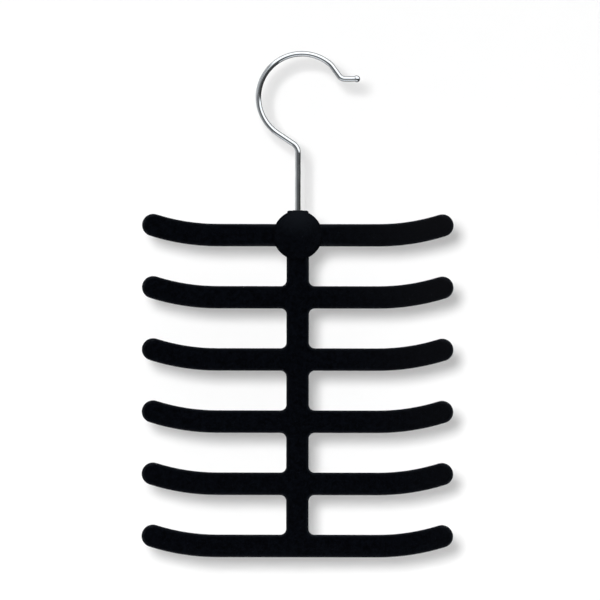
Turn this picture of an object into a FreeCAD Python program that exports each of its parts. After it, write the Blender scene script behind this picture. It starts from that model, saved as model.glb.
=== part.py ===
import FreeCAD, Part
import Sketcher
import math
import os

# A flocked tie hanger: a flat moulded comb of arms on a spine, with a round hub at its top, which turns
# on a chromed wire hook. The frame's origin is the rod seat, under the crown of the hook's loop. X runs
# towards the hook's mouth, the front faces -Y and Z points up. Every body is drawn about the hub centre,
# on the swivel axis, and is placed from there. The sizes of the flocked pieces are taken over the pile.

# Driving dimensions, in millimetres and degrees. Hook sizes run to the middle of the wire.
SIZES = {
    # Hook
    "wire_diameter": 3.5,
    "loop_radius": 28.0,
    "loop_offset": 2.5,          # loop centre beyond the swivel axis, towards the mouth
    "neck_slope": 33.5,          # degrees that the lower straight leans from the horizontal
    "neck_bend": 7.0,
    "tip_slope": 54.0,           # degrees that the upper straight leans from the horizontal
    "shoulder_bend": 8.0,        # tighter bend from the loop to the upper straight
    "shoulder_sweep": 14.0,      # degrees that it turns
    "tip_bend": 4.4,
    "tip_rise": 11.9,            # tip above the loop centre
    "tip_reach": 35.2,           # ball centre beyond the loop centre
    "ball_diameter": 4.4,
    "rod_drop": 115.0,           # hub centre below the rod seat
    "shank_tail": 1.2,           # wire left below the clip's groove
    "shank_bevel": 0.4,
    # Frame
    "frame_thickness": 5.0,
    "edge_bevel": 1.5,           # along both faces, close to the soft round of the pile
    "arm_height": 14.0,
    "arm_straight": 51.5,        # spine axis to the start of the arm's upward curve
    "arm_bend": 138.5,           # to the middle of the arm
    "arm_reach": 100.0,          # spine axis to the arm's tip
    "tier_pitch": 40.0,
    "tier_count": 6,
    "spine_width": 14.0,
    "corner_round": 4.0,
    # Hub
    "hub_radius": 15.6,
    "hub_thickness": 7.0,        # between the two covers
    "neck_width": 13.4,
    "neck_round": 1.1,
    "neck_depth": 8.1,           # neck top down to the window's ceiling
    "window_width": 11.0,
    "window_height": 9.0,
    "window_round": 2.0,
    # Hub covers
    "cover_rim": 1.1,            # thickness at the hub's edge
    "cover_crown": 3.2,          # thickness at the middle
    "cover_bevel": 0.5,
    "pin_spread": 22.6,          # between the two locating pins
    "pin_diameter": 2.4,
    "pin_length": 2.2,
    # Swivel
    "bush_wall": 0.75,
    "bush_stand": 0.4,           # bush end below the window ceiling
    "flange_width": 0.85,        # flange beyond the sleeve
    "flange_height": 0.45,
    "flange_bevel": 0.3,
    "washer_thickness": 0.6,
    "clip_thickness": 0.6,
    "clip_seat": 2.3,            # diameter that the clip grips, at the bottom of its groove
    "clip_band": 0.8,            # radial width of the clip's outer ring
    "clip_lobe": 1.1,            # width of each of its three gripping lobes
    "clip_mouth": 1.9,
    # Clearances, radial or along the axis
    "running_clearance": 0.06,   # wire in bush
    "seat_clearance": 0.05,      # bush in neck, pins in their holes, clip on its groove
    "axial_play": 0.1,           # bush end to washer
    "groove_play": 0.05,         # clip in its groove
    "swivel_clearance": 0.3,     # washer and clip to the covers
    # How far a cutter runs past what it cuts
    "cut_margin": 1.0,
}

# Heights on the swivel axis, measured from the hub centre, from the loop down to the wire's lower end
LOOP_Z = "(Sizes.rod_drop - Sizes.loop_radius + Sizes.wire_diameter / 2)"
NECK_TOP = "Sizes.hub_radius"
WINDOW_TOP = f"({NECK_TOP} - Sizes.neck_depth)"
BUSH_END = f"({WINDOW_TOP} - Sizes.bush_stand)"
WASHER_TOP = f"({BUSH_END} - Sizes.axial_play)"
WASHER_END = f"({WASHER_TOP} - Sizes.washer_thickness)"
CLIP_END = f"({WASHER_END} - Sizes.clip_thickness)"
GROOVE_END = f"({CLIP_END} - Sizes.groove_play)"
SHANK_END = f"({GROOVE_END} - Sizes.shank_tail)"

# Radii about the swivel axis
WIRE_RADIUS = "(Sizes.wire_diameter / 2)"
BUSH_BORE = f"({WIRE_RADIUS} + Sizes.running_clearance)"
BUSH_RADIUS = f"({BUSH_BORE} + Sizes.bush_wall)"
FLANGE_RADIUS = f"({BUSH_RADIUS} + Sizes.flange_width)"
NECK_BORE = f"({BUSH_RADIUS} + Sizes.seat_clearance)"
WASHER_RADIUS = "(Sizes.hub_thickness / 2 - Sizes.swivel_clearance)"
GROOVE_RADIUS = "(Sizes.clip_seat / 2)"
LOBE_RADIUS = f"({GROOVE_RADIUS} + Sizes.seat_clearance)"
RING_BORE = f"({WASHER_RADIUS} - Sizes.clip_band)"

# The shoulder bend's centre beyond the loop's, towards the mouth
SHOULDER_X = "(Sizes.loop_radius - Sizes.shoulder_bend) * sin(Sizes.tip_slope - Sizes.shoulder_sweep)"

# Half sizes, and the fillets and bevels that a thin wall limits
HALF_HUB = "(Sizes.hub_thickness / 2)"
HALF_ARM = "(Sizes.arm_height / 2)"
HALF_NECK = "(Sizes.neck_width / 2)"
SHOULDER_Z = f"sqrt(Sizes.hub_radius ^ 2 - {HALF_NECK} ^ 2)"
NECK_ROUND = f"min(Sizes.neck_round; 0.75 * ({NECK_TOP} - {SHOULDER_Z}))"
EDGE_BEVEL = "min(Sizes.edge_bevel; 0.46 * Sizes.frame_thickness)"
COVER_BEVEL = "min(Sizes.cover_bevel; 0.7 * Sizes.cover_rim)"
FLANGE_BEVEL = "min(Sizes.flange_bevel; 0.8 * Sizes.flange_height)"

# The dome of a hub cover, a shallow piece of a sphere whose centre lies behind the hub
DOME_RISE = "(Sizes.cover_crown - Sizes.cover_rim)"
DOME_RADIUS = f"((Sizes.hub_radius ^ 2 + {DOME_RISE} ^ 2) / (2 * {DOME_RISE}))"
DOME_CENTRE = f"({DOME_RADIUS} - Sizes.cover_crown - {HALF_HUB})"
DOME_REACH = "(Sizes.hub_radius + Sizes.cut_margin)"
DOME_FRONT = "(Sizes.cover_crown + 2 * Sizes.cut_margin)"

# The sketch origin, the numbers of the sketch's two axes, and the named points of a line or an arc
ORIGIN = (-1, 1)
X_AXIS, Y_AXIS = -1, -2
START, END, CENTRE = 1, 2, 3

POSITION_TOLERANCE = 1e-4

doc = FreeCAD.newDocument("TieHanger")
sheet = doc.addObject("Spreadsheet::Sheet", "Sizes")
for row, (alias, number) in enumerate(SIZES.items(), start=1):
    sheet.set(f"A{row}", alias)
    sheet.set(f"B{row}", str(number))
    sheet.setAlias(f"B{row}", alias)
doc.recompute()


def value(formula):
    """The present number behind a formula of sheet sizes."""
    return float(sheet.evalExpression(formula))


def near(first, second):
    return abs(first - second) < POSITION_TOLERANCE


# Bodies and features

def new_body(name, turn=0.0):
    """A body about the hub centre, turned about the swivel axis by so many degrees."""
    body = doc.addObject("PartDesign::Body", name)
    body.Label = name
    body.Placement.Rotation = FreeCAD.Rotation(FreeCAD.Vector(0, 0, 1), turn)
    body.setExpression("Placement.Base.x", "-Sizes.loop_offset")
    body.setExpression("Placement.Base.z", "-Sizes.rod_drop")
    return body


def datum(body, role):
    """One of the body's own origin planes or axes."""
    found = next(feature for feature in body.Origin.OriginFeatures if feature.Role == role)
    return (found, [""])


def new_sketch(body, name, plane, offset=None):
    """A sketch on an origin plane, moved along the plane's normal by a formula."""
    sketch = body.newObject("Sketcher::SketchObject", name)
    sketch.AttachmentSupport = datum(body, plane)
    sketch.MapMode = "FlatFace"
    if offset:
        sketch.setExpression("AttachmentOffset.Base.z", offset)
    return sketch


def pad(body, name, sketch, length, symmetric=False):
    feature = body.newObject("PartDesign::Pad", name)
    feature.Profile = sketch
    feature.SideType = "Symmetric" if symmetric else "One side"
    feature.setExpression("Length", length)
    doc.recompute()
    return feature


def pocket(body, name, sketch, length, symmetric=False):
    """A cut against the sketch's normal, which has to take material away."""
    before = body.Shape.Volume
    feature = body.newObject("PartDesign::Pocket", name)
    feature.Profile = sketch
    feature.SideType = "Symmetric" if symmetric else "One side"
    feature.setExpression("Length", length)
    doc.recompute()
    require_cut(name, before, feature)
    return feature


def revolve(body, name, sketch, axis):
    feature = body.newObject("PartDesign::Revolution", name)
    feature.Profile = sketch
    feature.ReferenceAxis = datum(body, axis)
    feature.Angle = 360
    doc.recompute()
    return feature


def groove(body, name, sketch, axis):
    """A full turn of a profile, cut away, which has to take material away."""
    before = body.Shape.Volume
    feature = body.newObject("PartDesign::Groove", name)
    feature.Profile = sketch
    feature.ReferenceAxis = datum(body, axis)
    feature.Angle = 360
    doc.recompute()
    require_cut(name, before, feature)
    return feature


def require_cut(name, before, feature):
    if feature.Shape.Volume >= before:
        raise RuntimeError(f"{name} cuts nothing")


def dress(body, kind, name, base, size_name, size, chosen):
    """A fillet or a bevel on the edges of a feature that pass a test."""
    edges = [f"Edge{i}" for i, edge in enumerate(base.Shape.Edges, start=1) if chosen(edge)]
    feature = body.newObject(kind, name)
    feature.Base = (base, edges)
    feature.setExpression(size_name, size)
    doc.recompute()
    return feature


def fillet(body, name, base, radius, chosen):
    return dress(body, "PartDesign::Fillet", name, base, "Radius", radius, chosen)


def bevel(body, name, base, size, chosen):
    return dress(body, "PartDesign::Chamfer", name, base, "Size", size, chosen)


def polar(body, name, original, axis, count):
    feature = body.newObject("PartDesign::PolarPattern", name)
    feature.Originals = [original]
    feature.Axis = datum(body, axis)
    feature.Angle = 360
    feature.Occurrences = count
    body.Tip = feature
    doc.recompute()
    return feature


# Sketch elements and constraints

def point(x, y):
    return FreeCAD.Vector(x, y, 0)


def line(sketch, start, end):
    return sketch.addGeometry(Part.LineSegment(point(*start), point(*end)))


def arc(sketch, centre, radius, first, last):
    """An arc from a first to a last angle, in degrees, counter-clockwise."""
    circle = Part.Circle(point(*centre), FreeCAD.Vector(0, 0, 1), radius)
    return sketch.addGeometry(Part.ArcOfCircle(circle, math.radians(first), math.radians(last)))


def ring(sketch, radius):
    """A circle about the sketch origin."""
    circle = Part.Circle(point(0, 0), FreeCAD.Vector(0, 0, 1), value(radius))
    index = sketch.addGeometry(circle)
    hold(sketch, "Coincident", index, CENTRE, *ORIGIN)
    measure(sketch, radius, "Radius", index)


def hold(sketch, kind, *elements):
    sketch.addConstraint(Sketcher.Constraint(kind, *elements))


def measure(sketch, formula, kind, *elements):
    """A dimension bound to a formula of sheet sizes."""
    index = sketch.addConstraint(Sketcher.Constraint(kind, *elements, value(formula)))
    sketch.setExpression(f"Constraints[{index}]", formula)


def lean(sketch, degrees, *elements):
    """An angle bound to a formula of sheet sizes in degrees."""
    index = sketch.addConstraint(Sketcher.Constraint("Angle", *elements, math.radians(value(degrees))))
    sketch.setExpression(f"Constraints[{index}]", f"{degrees} * 1 deg")


def place(sketch, x, y, *end):
    """Puts an end point where two formulas say, from the sketch origin."""
    measure(sketch, x, "DistanceX", *ORIGIN, *end)
    measure(sketch, y, "DistanceY", *ORIGIN, *end)


def polygon(sketch, corners):
    """A closed outline through corners, each given by two formulas."""
    spots = [(value(x), value(y)) for x, y in corners]
    sides = [line(sketch, spot, spots[(i + 1) % len(spots)]) for i, spot in enumerate(spots)]
    for i, side in enumerate(sides):
        hold(sketch, "Coincident", side, END, sides[(i + 1) % len(sides)], START)
        place(sketch, *corners[i], side, START)


def rectangle(sketch, width, bottom, top):
    """A rectangle centred on the sketch's upright axis."""
    polygon(sketch, [
        (f"-({width}) / 2", bottom), (f"({width}) / 2", bottom),
        (f"({width}) / 2", top), (f"-({width}) / 2", top),
    ])


def pin_circle(sketch, diameter):
    """The first of two pins or pin holes, level with the hub centre."""
    side = value("Sizes.pin_spread / 2")
    circle = Part.Circle(point(side, 0), FreeCAD.Vector(0, 0, 1), value(diameter) / 2)
    index = sketch.addGeometry(circle)
    measure(sketch, "Sizes.pin_spread / 2", "DistanceX", *ORIGIN, index, CENTRE)
    hold(sketch, "PointOnObject", index, CENTRE, X_AXIS)
    measure(sketch, diameter, "Diameter", index)


# Hook

def hook_path(sketch):
    """The wire's middle line: shank, bend, sloping neck, loop, shoulder, sloping tip, bend and level end."""
    loop = (value("Sizes.loop_offset"), value(LOOP_Z))
    radius = value("Sizes.loop_radius")
    slope = math.radians(value("Sizes.neck_slope"))
    dip = math.radians(value("Sizes.tip_slope"))
    loop_turn = math.radians(value("Sizes.tip_slope - Sizes.shoulder_sweep"))
    bend = value("Sizes.neck_bend")
    turn = value("Sizes.shoulder_bend")
    curl = value("Sizes.tip_bend")
    tip_z = loop[1] + value("Sizes.tip_rise")
    tip_x = loop[0] + value("Sizes.tip_reach")

    neck_top = (loop[0] - radius * math.sin(slope), loop[1] - radius * math.cos(slope))
    elbow_z = neck_top[1] + neck_top[0] * math.tan(slope)
    setback = bend * math.tan((math.pi / 2 - slope) / 2)
    shank_top = (0, elbow_z - setback)
    neck_foot = (-setback * math.cos(slope), elbow_z + setback * math.sin(slope))

    inset = radius - turn
    shoulder_at = (loop[0] + inset * math.sin(loop_turn), loop[1] + inset * math.cos(loop_turn))
    dip_start = (shoulder_at[0] + turn * math.sin(dip), shoulder_at[1] + turn * math.cos(dip))
    run = (dip_start[1] - tip_z) / math.sin(dip)
    setback = curl * math.tan(dip / 2)
    corner_x = dip_start[0] + run * math.cos(dip)
    dip_end = (corner_x - setback * math.cos(dip), tip_z + setback * math.sin(dip))
    level_start = (corner_x + setback, tip_z)

    shank = line(sketch, (0, value(SHANK_END)), shank_top)
    elbow = arc(sketch, (-bend, shank_top[1]), bend, 0, 90 - math.degrees(slope))
    neck = line(sketch, neck_foot, neck_top)
    crook = arc(sketch, loop, radius, 90 - math.degrees(loop_turn), 270 - math.degrees(slope))
    shoulder = arc(sketch, shoulder_at, turn, 90 - math.degrees(dip), 90 - math.degrees(loop_turn))
    drop = line(sketch, dip_start, dip_end)
    upturn = arc(sketch, (level_start[0], tip_z + curl), curl, 270 - math.degrees(dip), 270)
    level = line(sketch, level_start, (tip_x, tip_z))

    hold(sketch, "PointOnObject", shank, START, Y_AXIS)
    hold(sketch, "Vertical", shank)
    hold(sketch, "Tangent", shank, END, elbow, START)
    hold(sketch, "Tangent", elbow, END, neck, START)
    hold(sketch, "Tangent", neck, END, crook, END)
    hold(sketch, "Tangent", crook, START, shoulder, END)
    hold(sketch, "Tangent", shoulder, START, drop, START)
    hold(sketch, "Tangent", drop, END, upturn, START)
    hold(sketch, "Tangent", upturn, END, level, START)
    hold(sketch, "Horizontal", level)
    measure(sketch, SHANK_END, "DistanceY", *ORIGIN, shank, START)
    measure(sketch, "Sizes.neck_bend", "Radius", elbow)
    measure(sketch, "Sizes.loop_radius", "Radius", crook)
    measure(sketch, "Sizes.shoulder_bend", "Radius", shoulder)
    measure(sketch, SHOULDER_X, "DistanceX", crook, CENTRE, shoulder, CENTRE)
    measure(sketch, "Sizes.tip_bend", "Radius", upturn)
    place(sketch, "Sizes.loop_offset", LOOP_Z, crook, CENTRE)
    lean(sketch, "(180 - Sizes.neck_slope)", neck)
    lean(sketch, "(-Sizes.tip_slope)", drop)
    place(sketch, "Sizes.loop_offset + Sizes.tip_reach", f"{LOOP_Z} + Sizes.tip_rise", level, END)


def make_hook():
    body = new_body("hook")
    path = new_sketch(body, "WirePath", "XZ_Plane")
    hook_path(path)
    section = new_sketch(body, "WireSection", "XY_Plane", SHANK_END)
    ring(section, WIRE_RADIUS)
    doc.recompute()
    wire = body.newObject("PartDesign::AdditivePipe", "Wire")
    wire.Profile = section
    wire.Spine = (path, [f"Edge{i}" for i in range(1, path.GeometryCount + 1)])
    doc.recompute()

    ball = body.newObject("PartDesign::AdditiveSphere", "TipBall")
    ball.setExpression("Radius", "Sizes.ball_diameter / 2")
    ball.setExpression("Placement.Base.x", "Sizes.loop_offset + Sizes.tip_reach")
    ball.setExpression("Placement.Base.z", f"{LOOP_Z} + Sizes.tip_rise")
    doc.recompute()

    shank_end = value(SHANK_END)
    bevel(body, "ShankBevel", ball, "Sizes.shank_bevel",
          lambda edge: near(edge.BoundBox.ZMin, shank_end) and near(edge.BoundBox.ZMax, shank_end))

    cut = new_sketch(body, "ClipGrooveSection", "XZ_Plane")
    outside = f"{WIRE_RADIUS} + Sizes.cut_margin"
    polygon(cut, [
        (GROOVE_RADIUS, GROOVE_END), (outside, GROOVE_END),
        (outside, WASHER_END), (GROOVE_RADIUS, WASHER_END),
    ])
    groove(body, "ClipGroove", cut, "Z_Axis")
    return body


# Swivel pieces in the hub

def make_bush():
    """A flanged sleeve in the neck, with a bevelled collar that shows round the wire."""
    body = new_body("swivel_bush")
    profile = new_sketch(body, "BushSection", "XZ_Plane")
    flange_top = f"{NECK_TOP} + Sizes.flange_height"
    polygon(profile, [
        (BUSH_BORE, BUSH_END), (BUSH_RADIUS, BUSH_END), (BUSH_RADIUS, NECK_TOP),
        (FLANGE_RADIUS, NECK_TOP), (FLANGE_RADIUS, flange_top), (BUSH_BORE, flange_top),
    ])
    sleeve = revolve(body, "Sleeve", profile, "Z_Axis")
    rim_z = value(flange_top)
    rim_x = value(FLANGE_RADIUS)
    bevel(body, "CollarBevel", sleeve, FLANGE_BEVEL,
          lambda edge: near(edge.BoundBox.ZMin, rim_z) and near(edge.BoundBox.XMax, rim_x))
    return body


def make_washer():
    body = new_body("thrust_washer")
    face = new_sketch(body, "WasherFace", "XY_Plane", WASHER_END)
    ring(face, WASHER_RADIUS)
    ring(face, BUSH_BORE)
    pad(body, "Disc", face, "Sizes.washer_thickness")
    return body


def make_clip():
    """An E-shaped clip: an open ring with three lobes that grip the groove, its mouth to the front."""
    body = new_body("retaining_clip")
    face = new_sketch(body, "RingFace", "XY_Plane", CLIP_END)
    ring(face, WASHER_RADIUS)
    ring(face, RING_BORE)
    pad(body, "OuterRing", face, "Sizes.clip_thickness")
    grip = new_sketch(body, "LobeFace", "XY_Plane", CLIP_END)
    rectangle(grip, "Sizes.clip_lobe", LOBE_RADIUS, f"{RING_BORE} + Sizes.clip_band / 2")
    lobe = pad(body, "Lobe", grip, "Sizes.clip_thickness")
    polar(body, "Lobes", lobe, "Z_Axis", 3)
    gap = new_sketch(body, "MouthFace", "XY_Plane", WASHER_END)
    rectangle(gap, "Sizes.clip_mouth", f"-({WASHER_RADIUS} + Sizes.cut_margin)", "-Sizes.cut_margin / 2")
    pocket(body, "Mouth", gap, "Sizes.clip_thickness")
    return body


# Frame

def arm_outline(sketch):
    """One arm, from the spine axis out: a level bar that curves up to a full-round tip."""
    half = value(HALF_ARM)
    straight = value("Sizes.arm_straight")
    bend = value("Sizes.arm_bend")
    tip_x = value(f"Sizes.arm_reach - {HALF_ARM}")
    sweep = math.asin((tip_x - straight) / bend)
    tip = (tip_x, bend - bend * math.cos(sweep))
    inner = bend - half
    outer = bend + half
    degrees = math.degrees(sweep)

    def on_arc(radius):
        return (straight + radius * math.sin(sweep), bend - radius * math.cos(sweep))

    root = line(sketch, (0, half), (0, -half))
    under = line(sketch, (0, -half), (straight, -half))
    under_arc = arc(sketch, (straight, bend), outer, 270, 270 + degrees)
    cap = arc(sketch, tip, half, degrees - 90, degrees + 90)
    upper_arc = arc(sketch, (straight, bend), inner, 270, 270 + degrees)
    upper = line(sketch, (straight, half), (0, half))

    hold(sketch, "Coincident", root, END, under, START)
    hold(sketch, "Coincident", upper, END, root, START)
    hold(sketch, "Tangent", under, END, under_arc, START)
    hold(sketch, "Tangent", under_arc, END, cap, START)
    hold(sketch, "Tangent", cap, END, upper_arc, END)
    hold(sketch, "Tangent", upper_arc, START, upper, START)
    hold(sketch, "Horizontal", under)
    hold(sketch, "Horizontal", upper)
    hold(sketch, "PointOnObject", root, START, Y_AXIS)
    hold(sketch, "PointOnObject", root, END, Y_AXIS)
    hold(sketch, "Coincident", under_arc, CENTRE, upper_arc, CENTRE)
    measure(sketch, HALF_ARM, "DistanceY", *ORIGIN, root, START)
    measure(sketch, f"-{HALF_ARM}", "DistanceY", *ORIGIN, root, END)
    measure(sketch, "Sizes.arm_straight", "DistanceX", *ORIGIN, under, END)
    measure(sketch, f"Sizes.arm_bend + {HALF_ARM}", "Radius", under_arc)
    measure(sketch, f"Sizes.arm_reach - {HALF_ARM}", "DistanceX", *ORIGIN, cap, CENTRE)


def parallel_to_y(edge):
    return near(edge.BoundBox.XLength, 0) and near(edge.BoundBox.ZLength, 0)


def hub_outline(sketch):
    """A disc with a flat-topped neck for the hook."""
    radius = value("Sizes.hub_radius")
    half = value(HALF_NECK)
    top = value(NECK_TOP)
    shoulder = math.degrees(math.acos(half / radius))
    disc = arc(sketch, (0, 0), radius, 180 - shoulder, 360 + shoulder)
    shoulder_z = value(SHOULDER_Z)
    right = line(sketch, (half, shoulder_z), (half, top))
    flat = line(sketch, (half, top), (-half, top))
    left = line(sketch, (-half, top), (-half, shoulder_z))
    hold(sketch, "Coincident", disc, CENTRE, *ORIGIN)
    hold(sketch, "Coincident", disc, END, right, START)
    hold(sketch, "Coincident", right, END, flat, START)
    hold(sketch, "Coincident", flat, END, left, START)
    hold(sketch, "Coincident", left, END, disc, START)
    hold(sketch, "Vertical", right)
    hold(sketch, "Vertical", left)
    measure(sketch, "Sizes.hub_radius", "Radius", disc)
    place(sketch, HALF_NECK, NECK_TOP, right, END)
    place(sketch, f"-{HALF_NECK}", NECK_TOP, flat, END)


def round_neck(body, base):
    """Rounds the neck's two top corners."""
    half = value(HALF_NECK)
    top = value(NECK_TOP)

    def top_corner(edge):
        middle = edge.CenterOfMass
        return parallel_to_y(edge) and near(abs(middle.x), half) and near(middle.z, top)

    return fillet(body, "NeckRound", base, NECK_ROUND, top_corner)


def make_comb(body):
    """The spine with its tiers of arms, rounded in every corner and bevelled along every edge."""
    back = new_sketch(body, "SpineFace", "XZ_Plane")
    foot = f"-(Sizes.tier_count - 1) * Sizes.tier_pitch - {HALF_ARM}"
    rectangle(back, "Sizes.spine_width", foot, HALF_ARM)
    pad(body, "Spine", back, "Sizes.frame_thickness", symmetric=True)
    face = new_sketch(body, "ArmFace", "XZ_Plane")
    arm_outline(face)
    arm = pad(body, "Arm", face, "Sizes.frame_thickness", symmetric=True)

    opposite = body.newObject("PartDesign::Mirrored", "OppositeArm")
    opposite.MirrorPlane = datum(body, "YZ_Plane")
    tiers = body.newObject("PartDesign::LinearPattern", "Tiers")
    tiers.Direction = datum(body, "Z_Axis")
    tiers.Reversed = True
    tiers.Mode = "Spacing"
    tiers.setExpression("Offset", "Sizes.tier_pitch")
    tiers.setExpression("Occurrences", "Sizes.tier_count")
    arms = body.newObject("PartDesign::MultiTransform", "Arms")
    arms.Originals = [arm]
    arms.Transformations = [opposite, tiers]
    body.Tip = arms
    doc.recompute()

    side = value("Sizes.spine_width / 2")
    half = value("Sizes.frame_thickness / 2")
    corners = fillet(body, "ArmCorners", arms, "Sizes.corner_round",
                     lambda edge: parallel_to_y(edge) and near(abs(edge.CenterOfMass.x), side))

    def on_a_face(edge):
        box = edge.BoundBox
        return near(box.YLength, 0) and near(abs(edge.CenterOfMass.y), half)

    return bevel(body, "SoftEdges", corners, EDGE_BEVEL, on_a_face)


def make_frame():
    body = new_body("frame")
    make_comb(body)
    outline = new_sketch(body, "HubFace", "XZ_Plane")
    hub_outline(outline)
    hub = pad(body, "Hub", outline, "Sizes.hub_thickness", symmetric=True)
    round_neck(body, hub)

    opening = new_sketch(body, "WindowFace", "XZ_Plane")
    rectangle(opening, "Sizes.window_width", f"{WINDOW_TOP} - Sizes.window_height", WINDOW_TOP)
    through = "Sizes.hub_thickness + Sizes.cut_margin"
    window = pocket(body, "Window", opening, through, symmetric=True)
    jamb = value("Sizes.window_width / 2")
    fillet(body, "WindowRound", window, "Sizes.window_round",
           lambda edge: parallel_to_y(edge) and near(abs(edge.CenterOfMass.x), jamb))

    mouth = new_sketch(body, "NeckBoreFace", "XY_Plane", NECK_TOP)
    ring(mouth, NECK_BORE)
    pocket(body, "NeckBore", mouth, "Sizes.neck_depth + Sizes.cut_margin")

    hole = new_sketch(body, "PinHoleFace", "XZ_Plane")
    pin_circle(hole, "(Sizes.pin_diameter + 2 * Sizes.seat_clearance)")
    first = pocket(body, "PinHole", hole, through, symmetric=True)
    polar(body, "PinHoles", first, "Y_Axis", 2)
    return body


# Hub covers

def dome_cutter(sketch):
    """Everything in front of the dome, in a section through the dome's centre, which is the sketch origin."""
    radius = value(DOME_RADIUS)
    reach = value(DOME_REACH)
    front = value(f"{DOME_RADIUS} + {DOME_FRONT}")
    half_turn = math.degrees(math.asin(reach / radius))
    edge = -radius * math.cos(math.radians(half_turn))

    dome = arc(sketch, (0, 0), radius, 180 - half_turn, 180 + half_turn)
    lower = line(sketch, (edge, -reach), (-front, -reach))
    flat = line(sketch, (-front, -reach), (-front, reach))
    upper = line(sketch, (-front, reach), (edge, reach))
    hold(sketch, "Coincident", dome, CENTRE, *ORIGIN)
    hold(sketch, "Coincident", dome, END, lower, START)
    hold(sketch, "Coincident", lower, END, flat, START)
    hold(sketch, "Coincident", flat, END, upper, START)
    hold(sketch, "Coincident", upper, END, dome, START)
    hold(sketch, "Horizontal", lower)
    hold(sketch, "Horizontal", upper)
    measure(sketch, DOME_RADIUS, "Radius", dome)
    place(sketch, f"-({DOME_RADIUS} + {DOME_FRONT})", f"-{DOME_REACH}", flat, START)
    place(sketch, f"-({DOME_RADIUS} + {DOME_FRONT})", DOME_REACH, flat, END)


def make_cover(name, turn):
    """A domed cover on one face of the hub, with two pins that locate it."""
    body = new_body(name, turn)
    outline = new_sketch(body, "CoverFace", "XZ_Plane", HALF_HUB)
    ring(outline, "Sizes.hub_radius")
    blank = pad(body, "Blank", outline, "Sizes.cover_crown + Sizes.cut_margin")
    front = value(f"-({HALF_HUB} + Sizes.cover_crown + Sizes.cut_margin)")
    rim = bevel(body, "RimBevel", blank, f"{DOME_RISE} + Sizes.cut_margin + {COVER_BEVEL}",
                lambda edge: near(edge.BoundBox.YMin, front) and near(edge.BoundBox.YMax, front))

    section = new_sketch(body, "DomeSection", "YZ_Plane")
    section.setExpression("AttachmentOffset.Base.x", DOME_CENTRE)
    dome_cutter(section)
    dome = body.newObject("PartDesign::Groove", "Dome")
    dome.Profile = section
    dome.ReferenceAxis = (section, ["V_Axis"])
    dome.Midplane = True
    dome.setExpression("Angle", f"4 * asin({DOME_REACH} / {DOME_RADIUS})")
    doc.recompute()
    require_cut("Dome", rim.Shape.Volume, dome)

    stub = new_sketch(body, "PinFace", "XZ_Plane", f"{HALF_HUB} - Sizes.pin_length")
    pin_circle(stub, "Sizes.pin_diameter")
    pin = pad(body, "Pin", stub, "Sizes.pin_length + Sizes.cover_rim / 2")
    polar(body, "Pins", pin, "Y_Axis", 2)
    return body


sub_parts = [
    make_hook(),
    make_bush(),
    make_washer(),
    make_clip(),
    make_frame(),
    make_cover("front_hub_cover", 0),
    make_cover("rear_hub_cover", 180),
]
doc.recompute()

# Every feature has to be sound, and every sub-part one valid solid, before anything is written
for item in doc.Objects:
    if "Invalid" in item.State or "Error" in item.State:
        raise RuntimeError(f"{item.Name} failed: {item.State}")
for body in sub_parts:
    shape = body.Shape
    if shape.isNull() or not shape.isValid() or len(shape.Solids) != 1:
        raise RuntimeError(f"{body.Label} is not one valid solid")

os.makedirs("parts", exist_ok=True)
for body in sub_parts:
    body.Shape.exportStep(f"parts/{body.Label}.step")
    box = body.Shape.BoundBox
    print(f"{body.Label}: {body.Shape.Volume:.1f} mm3, "
          f"{box.XLength:.2f} x {box.YLength:.2f} x {box.ZLength:.2f} mm")
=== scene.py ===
"""A flocked tie hanger with a chromed swivel hook: its finishes, its backdrop, its light and its camera."""
import math

import bpy
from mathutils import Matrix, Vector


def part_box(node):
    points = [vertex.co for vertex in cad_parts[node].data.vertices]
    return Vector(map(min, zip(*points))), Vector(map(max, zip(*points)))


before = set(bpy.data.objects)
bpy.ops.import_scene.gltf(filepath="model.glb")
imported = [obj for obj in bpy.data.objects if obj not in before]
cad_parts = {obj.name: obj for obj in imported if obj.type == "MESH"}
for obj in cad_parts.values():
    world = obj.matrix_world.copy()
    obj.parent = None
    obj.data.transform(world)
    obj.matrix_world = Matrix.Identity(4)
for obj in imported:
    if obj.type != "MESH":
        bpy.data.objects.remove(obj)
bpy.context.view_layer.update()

# The shared frame's axes, as the camera sees them
RIGHT = (1, 0, 0)
BACK = (0, 1, 0)
UP = (0, 0, 1)
UP_RIGHT = (1, 0, 0.8)

# The photograph's frame, in metres at the hanger: its middle seen from the rod seat, its side and its turn
VIEW_MIDDLE = (-0.00103, -0.15670)
VIEW_SIDE = 0.3861
VIEW_TURN = math.radians(-0.10)

# The camera's distance and sensor, and the turn that points it, like the key light, to the back
CAMERA_DISTANCE = 2.4
SENSOR = 36.0
LOOKING_BACK = math.radians(90)

# The flock: its nap's height, the angle from which edges are shaded as corners, and the reach of the weld
FLOCKED = ("frame", "front_hub_cover", "rear_hub_cover")
NAP_HEIGHT = 0.00022
CORNER_ANGLE = math.radians(52)
WELD_DISTANCE = 0.000002

# The nap's grain: the size of its clumps and fibres, and the depth and strength of their relief
CLUMP_SIZE = 0.0032
FIBRE_SIZE = 0.0008
FUZZ_DEPTH = 0.0006
FUZZ_STRENGTH = 0.8

# The nap's tones between its fibres and on them
NAP_BETWEEN = (0.0001, 0.0002, 0.0006)
NAP_FIBRES = (0.0018, 0.0024, 0.0040)

# Towards the upper right the nap is painted lighter: painted light, where more light falls on it
PAINTED_LIGHT_RIGHT_TONE = (0.0032, 0.0034, 0.0042)
PAINTED_LIGHT_AXIS = (1, 0, 0.35)
PAINTED_LIGHT_START = -0.06
PAINTED_LIGHT_END = 0.07

# Round the neck it is painted lighter: a painted highlight, where the domed hub catches the light from above
PAINTED_HIGHLIGHT_NECK_TONE = (0.0050, 0.0063, 0.0085)
PAINTED_HIGHLIGHT_REACH = 0.021
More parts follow.
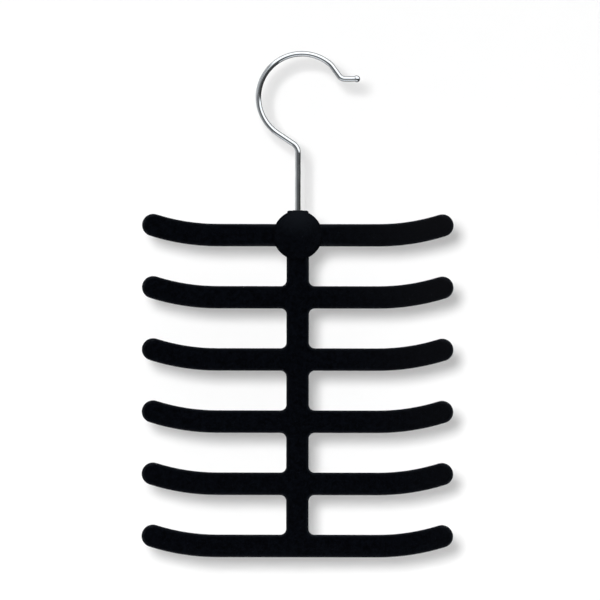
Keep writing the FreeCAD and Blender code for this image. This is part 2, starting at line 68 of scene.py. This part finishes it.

# Seen along its fibres it is painted lighter, a painted sheen, but hardly so at the covers' rims, which the
# photograph doesn't show
PAINTED_SHEEN_TONE = (0.0135, 0.0150, 0.0190)
EDGE_ON_BLEND = 0.74
RIM_DEPTH = 0.0044
RIM_START = 0.00045
RIM_END = 0.0011
RIM_SHARE = 0.05

# The backdrop stands behind the arms' swing, and curves into a floor below the hanger
BACKDROP_Y = 0.118
BACKDROP_TOP = 0.36
FLOOR_Z = -0.62
FLOOR_FRONT = -0.42
SWEEP_RADIUS = 0.10
SWEEP_HALF_WIDTH = 0.42
SWEEP_STEPS = 24

# Its white, and the painted shade that its wall has in the metal, lighter at one place on the left and darker
# at one on the right
PAPER_WHITE = (0.95, 0.95, 0.95, 1)
WALL_LEFT = -0.25
WALL_RIGHT = 0.10
WALL_LEFT_PAINTED_TONE = 0.70
WALL_RIGHT_PAINTED_SHADE = 0.04

# The key light, a disc as far off as the camera: where the picture shows its shadow, how soft, and its light
SHADOW_RIGHT = 0.0057
SHADOW_DOWN = 0.0064
SHADOW_BLUR = 0.0104
KEY_LIGHT = 2.03

# The studio: its white, and how much of the light that the metal shows falls on matt surfaces
STUDIO_WHITE = (1, 1, 1, 1)
AMBIENT_SHARE = 0.49


class Nodes:
    """A node tree, with short ways to add the nodes that this scene needs."""

    def __init__(self, tree):
        self.tree = tree

    def add(self, kind, inputs=None, **settings):
        """Adds a node with its settings, and gives its inputs, by name or number, links or plain values."""
        node = self.tree.nodes.new("ShaderNode" + kind)
        for name, value in settings.items():
            setattr(node, name, value)
        for socket, value in (inputs or {}).items():
            self.give(node.inputs[socket], value)
        return node

    def give(self, socket, value):
        """Links an output to a socket, or sets the socket to a plain value."""
        if isinstance(value, bpy.types.NodeSocket):
            self.tree.links.new(value, socket)
        else:
            socket.default_value = value

    def maths(self, operation, first, second=0.0):
        """The result of an operation on one or two numbers."""
        return self.add("Math", {0: first, 1: second}, operation=operation).outputs["Value"]

    def along(self, vector, axis):
        """The part of a vector along an axis."""
        return self.add("VectorMath", {0: vector, 1: axis}, operation="DOT_PRODUCT").outputs["Value"]

    def spread(self, value, start, end, low=0.0, high=1.0):
        """Goes smoothly from low to high as the value goes from start to end."""
        limits = {"Value": value, "From Min": start, "From Max": end, "To Min": low, "To Max": high}
        return self.add("MapRange", limits, interpolation_type="SMOOTHSTEP").outputs["Result"]

    def mix(self, factor, first, second):
        """The first shader, gone over to the second by the factor."""
        return self.add("MixShader", {"Fac": factor, 1: first, 2: second}).outputs["Shader"]


class Material(Nodes):
    """A material round one Principled shader, with short ways to vary it over the surface."""

    def __init__(self, name):
        self.data = bpy.data.materials.new(name)
        self.data.use_nodes = True
        super().__init__(self.data.node_tree)
        self.shader = self.tree.nodes["Principled BSDF"]
        self.place = self.add("TexCoord").outputs["Object"]

    def shade(self, **sockets):
        """Gives shader sockets, with spaces written as underscores, links or plain values."""
        for name, value in sockets.items():
            self.give(self.shader.inputs[name.replace("_", " ")], value)

    def noise(self, grain, detail=3.0, stretch=(1, 1, 1)):
        """Noise whose spots are about one grain across, in metres, drawn out along the axes by stretch."""
        drawn = self.add("Mapping", {"Vector": self.place, "Scale": [1 / s for s in stretch]})
        spots = {"Vector": drawn.outputs["Vector"], "Scale": 1 / grain, "Detail": detail}
        return self.add("TexNoise", spots).outputs["Fac"]

    def ramp(self, factor, low, high, start=0.35, end=0.65):
        """A value or colour that goes from low to high as the factor rises from start to end."""
        ramp = self.add("ValToRGB", {"Fac": factor})
        for stop, position, value in zip(ramp.color_ramp.elements, (start, end), (low, high)):
            stop.position = position
            stop.color = (*value, 1) if isinstance(value, tuple) else (value, value, value, 1)
        return ramp.outputs["Color"]

    def blend(self, first, second, share):
        """Two factors, mixed with a share of the second."""
        return self.add("Mix", {"Factor": share, "A": first, "B": second}).outputs["Result"]

    def lighten(self, colour, light, factor):
        """The colour, gone over to a lighter one by the factor."""
        return self.add("MixRGB", {"Fac": factor, "Color1": colour, "Color2": (*light, 1)}).outputs["Color"]

    def bump(self, height, depth, strength):
        """The surface's normal, as if the height raised it, at most by depth in metres."""
        raised = {"Height": height, "Distance": depth, "Strength": strength}
        return self.add("Bump", raised).outputs["Normal"]

    def edge_on(self, normal):
        """Rises from 0 where the surface is seen face on to 1 where it is seen edge on."""
        return self.add("LayerWeight", {"Blend": EDGE_ON_BLEND, "Normal": normal}).outputs["Facing"]

    def near(self, point, reach):
        """Falls from 1 at a point of the front view (x, z) to 0 at the reach from it, in metres."""
        flat = self.add("VectorMath", {0: self.place, 1: (1, 0, 1)}, operation="MULTIPLY")
        ends = {0: flat.outputs["Vector"], 1: (point[0], 0, point[1])}
        away = self.add("VectorMath", ends, operation="DISTANCE")
        return self.spread(away.outputs["Value"], start=0.0, end=reach, low=1.0, high=0.0)

    def off_depth(self, depth, start, end, share):
        """Rises from the share to 1 away from one depth, before or behind the hanger's middle plane."""
        here = self.maths("ABSOLUTE", self.along(self.place, BACK))
        apart = self.maths("ABSOLUTE", self.maths("SUBTRACT", here, depth))
        return self.spread(apart, start, end, low=share)


def neck_point():
    """Where the hook enters the hub, in the front view (x, z)."""
    low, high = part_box("front_hub_cover")
    return (low.x + high.x) / 2, high.z


def black_flock():
    """Short black nap: almost no colour face on, with painted sheen where it is seen along its fibres, a
    painted highlight round the neck and painted light towards the upper right.
    """
    flock = Material("black_flock")
    clumps = flock.noise(CLUMP_SIZE, detail=2.0)
    fibres = flock.noise(FIBRE_SIZE, detail=4.0)
    fuzz = flock.bump(flock.blend(clumps, fibres, share=0.5), FUZZ_DEPTH, FUZZ_STRENGTH)
    painted_light_right = flock.spread(flock.along(flock.place, PAINTED_LIGHT_AXIS), PAINTED_LIGHT_START, PAINTED_LIGHT_END)
    painted_highlight_neck = flock.near(neck_point(), PAINTED_HIGHLIGHT_REACH)
    off_rims = flock.off_depth(RIM_DEPTH, RIM_START, RIM_END, RIM_SHARE)
    painted_sheen = flock.maths("MULTIPLY", flock.edge_on(fuzz), off_rims)

    grain = flock.blend(clumps, fibres, share=0.6)
    colour = flock.ramp(grain, NAP_BETWEEN, NAP_FIBRES, start=0.40, end=0.62)
    # Painted light: the nap is painted lighter towards the upper right
    colour = flock.lighten(colour, PAINTED_LIGHT_RIGHT_TONE, painted_light_right)
    # Painted highlight: the nap is painted lighter round the neck
    colour = flock.lighten(colour, PAINTED_HIGHLIGHT_NECK_TONE, painted_highlight_neck)
    # Painted sheen: the nap is painted lighter where it is seen edge on
    colour = flock.lighten(colour, PAINTED_SHEEN_TONE, painted_sheen)
    flock.shade(Base_Color=colour, Roughness=flock.ramp(fibres, low=0.86, high=1.0), Normal=fuzz)
    flock.shade(Specular_IOR_Level=0.02)
    flock.shade(Sheen_Weight=0.15, Sheen_Roughness=0.20, Sheen_Tint=(0.80, 0.90, 1.0, 1))
    return flock.data


def chrome_wire():
    """Bright chromium plate, with faint smears and a fine grain."""
    chrome = Material("chrome_wire")
    smears = chrome.noise(grain=0.009, detail=4.0)
    grain = chrome.noise(grain=0.0005, detail=2.0)
    tone = chrome.ramp(smears, low=(0.585, 0.620, 0.650), high=(0.650, 0.685, 0.715))
    chrome.shade(Metallic=1.0, Base_Color=tone, Roughness=chrome.ramp(smears, low=0.04, high=0.09))
    chrome.shade(Normal=chrome.bump(grain, depth=0.000004, strength=0.3))
    return chrome.data


def black_acetal():
    """Moulded black plastic, a little glossy, with the fine grain of its mould."""
    acetal = Material("black_acetal")
    clouds = acetal.noise(grain=0.003)
    grain = acetal.noise(grain=0.0003)
    tone = acetal.ramp(clouds, low=(0.010, 0.011, 0.012), high=(0.018, 0.019, 0.021))
    acetal.shade(Specular_IOR_Level=0.4, Base_Color=tone, Roughness=acetal.ramp(grain, low=0.35, high=0.5))
    acetal.shade(Normal=acetal.bump(grain, depth=0.00002, strength=0.4))
    return acetal.data


def plain_steel(name, dark, light):
    """Stamped steel with fine brush marks and uneven gloss."""
    steel = Material(name)
    marks = steel.noise(grain=0.0004, stretch=(12, 1, 1))
    stains = steel.noise(grain=0.002)
    tone = steel.ramp(stains, dark, light)
    steel.shade(Metallic=1.0, Base_Color=tone, Roughness=steel.ramp(marks, low=0.22, high=0.42))
    steel.shade(Normal=steel.bump(marks, depth=0.00001, strength=0.4))
    return steel.data


def dress(node, material):
    """Gives a CAD node its finish."""
    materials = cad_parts[node].data.materials
    materials.clear()
    materials.append(material)


def soften(node):
    """Lays the nap over a node and shades it smooth between corners; the CAD mesh itself stays as it is."""
    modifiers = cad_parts[node].modifiers
    weld = modifiers.new("Weld", "WELD")
    weld.merge_threshold = WELD_DISTANCE
    nap = modifiers.new("Nap", "DISPLACE")
    nap.strength = NAP_HEIGHT
    nap.mid_level = 0.0
    corners = modifiers.new("Corners", "EDGE_SPLIT")
    corners.split_angle = CORNER_ANGLE
    corners.use_edge_sharp = False
    modifiers.new("Shading", "WEIGHTED_NORMAL")


def put(name, data):
    """Puts a new object into the scene."""
    item = bpy.data.objects.new(name, data)
    bpy.context.scene.collection.objects.link(item)
    return item


def sweep_profile():
    """The backdrop's section from its top to the floor's front edge, as points (y, z)."""
    curve_y = BACKDROP_Y - SWEEP_RADIUS
    curve_z = FLOOR_Z + SWEEP_RADIUS
    profile = [(BACKDROP_Y, BACKDROP_TOP)]
    for step in range(SWEEP_STEPS + 1):
        turn = math.pi / 2 * step / SWEEP_STEPS
        profile.append((curve_y + SWEEP_RADIUS * math.cos(turn), curve_z - SWEEP_RADIUS * math.sin(turn)))
    profile.append((FLOOR_FRONT, FLOOR_Z))
    return profile


def sweep_paper():
    """White paper, clear from behind; in the metal its floor shines and its wall is painted darker to the
    right, a painted shade.
    """
    paper = bpy.data.materials.new("sweep_paper")
    paper.use_nodes = True
    paper.node_tree.nodes.clear()
    nodes = Nodes(paper.node_tree)
    path = nodes.add("LightPath")
    geometry = nodes.add("NewGeometry")

    # Painted shade: in the metal the wall is painted darker towards the right
    across = nodes.along(geometry.outputs["Position"], RIGHT)
    tone = nodes.spread(across, WALL_LEFT, WALL_RIGHT, WALL_LEFT_PAINTED_TONE, WALL_RIGHT_PAINTED_SHADE)
    wall = nodes.add("BsdfDiffuse", {"Color": tone}).outputs["BSDF"]
    floor = nodes.add("Emission").outputs["Emission"]
    in_metal = nodes.mix(nodes.along(geometry.outputs["Normal"], UP), wall, floor)

    white = nodes.add("BsdfDiffuse", {"Color": PAPER_WHITE}).outputs["BSDF"]
    front = nodes.mix(path.outputs["Is Glossy Ray"], white, in_metal)
    clear = nodes.add("BsdfTransparent").outputs["BSDF"]
    nodes.add("OutputMaterial", {"Surface": nodes.mix(geometry.outputs["Backfacing"], front, clear)})
    return paper


def build_sweep():
    """The pale backdrop and floor in one sheet, whose front faces the hanger."""
    profile = sweep_profile()
    points = [(x, y, z) for y, z in profile for x in (-SWEEP_HALF_WIDTH, SWEEP_HALF_WIDTH)]
    faces = [(i, i + 2, i + 3, i + 1) for i in range(0, 2 * len(profile) - 2, 2)]
    mesh = bpy.data.meshes.new("sweep")
    mesh.from_pydata(points, [], faces)
    mesh.shade_smooth()
    mesh.materials.append(sweep_paper())
    sweep = put("sweep", mesh)


def build_world():
    """A studio round the hanger, which the camera itself sees as white."""
    world = bpy.data.worlds.new("studio")
    bpy.context.scene.world = world
    world.use_nodes = True
    world.node_tree.nodes.clear()
    nodes = Nodes(world.node_tree)
    path = nodes.add("LightPath")
    direction = nodes.add("TexCoord").outputs["Generated"]

    def light(axis, start, end, low=0.0, high=1.0):
        """Brightness that goes from low to high as the direction along an axis goes from start to end."""
        return nodes.spread(nodes.along(direction, axis), start, end, low, high)

    def product(first, *others):
        """Several brightnesses, each multiplied by the next."""
        for other in others:
            first = nodes.maths("MULTIPLY", first, other)
        return first

    # A light overhead, weak behind the hanger and towards the left
    overhead = product(light(UP, start=0.03, end=0.18, high=1.7),
                       light(BACK, start=0.3, end=-0.1, low=0.15),
                       light(UP_RIGHT, start=-0.12, end=0.08, low=0.15))
    # A table below, which ends on the left and on the right
    table = product(light(UP, start=-0.60, end=-0.78, high=1.1),
                    light(RIGHT, start=0.45, end=0.15),
                    light(RIGHT, start=-0.75, end=-0.45))
    # A fill all round, bright on the left and weak on the right
    fill = product(light(RIGHT, start=-0.35, end=-1.05, low=0.11, high=0.48),
                   light(RIGHT, start=0.95, end=0.4, low=0.5))

    brightness = nodes.maths("ADD", nodes.maths("ADD", overhead, table), fill)
    matt = nodes.spread(path.outputs["Is Diffuse Ray"], start=0.0, end=1.0, low=1.0, high=AMBIENT_SHARE)
    lit = {"Color": STUDIO_WHITE, "Strength": nodes.maths("MULTIPLY", brightness, matt)}
    studio = nodes.add("Background", lit).outputs["Background"]
    seen = nodes.add("Background", {"Color": STUDIO_WHITE}).outputs["Background"]
    nodes.add("OutputWorld", {"Surface": nodes.mix(path.outputs["Is Camera Ray"], studio, seen)})


def build_key():
    """A soft lamp at the upper left of the camera, so that each part's shadow shows at one offset from it."""
    spread = (CAMERA_DISTANCE + BACKDROP_Y) / BACKDROP_Y
    left_of_camera = SHADOW_RIGHT * spread
    above_camera = SHADOW_DOWN * spread
    lamp = bpy.data.lights.new("key", "AREA")
    lamp.shape = "DISK"
    lamp.size = SHADOW_BLUR * spread
    lamp.energy = KEY_LIGHT * math.pi * CAMERA_DISTANCE ** 2
    key = put("key", lamp)
    key.location = (VIEW_MIDDLE[0] - left_of_camera, -CAMERA_DISTANCE, VIEW_MIDDLE[1] + above_camera)
    key.rotation_euler = (LOOKING_BACK, 0, 0)
    key.visible_camera = False
    key.visible_glossy = False


def build_camera():
    """Square on to the hanger's front, far enough to look almost flat."""
    lens = bpy.data.cameras.new("camera")
    lens.sensor_width = SENSOR
    lens.lens = SENSOR * CAMERA_DISTANCE / VIEW_SIDE
    camera = put("camera", lens)
    camera.location = (VIEW_MIDDLE[0], -CAMERA_DISTANCE, VIEW_MIDDLE[1])
    camera.rotation_euler = (LOOKING_BACK, VIEW_TURN, 0)
    bpy.context.scene.camera = camera


flock_finish = black_flock()
for flocked_node in FLOCKED:
    dress(flocked_node, flock_finish)
    soften(flocked_node)
dress("hook", chrome_wire())
dress("swivel_bush", black_acetal())
dress("thrust_washer", plain_steel("washer_steel", dark=(0.42, 0.42, 0.41), light=(0.52, 0.52, 0.51)))
dress("retaining_clip", plain_steel("clip_steel", dark=(0.24, 0.23, 0.22), light=(0.34, 0.33, 0.32)))

build_sweep()
build_world()
build_key()
build_camera()
bpy.context.scene.view_settings.view_transform = "Standard"
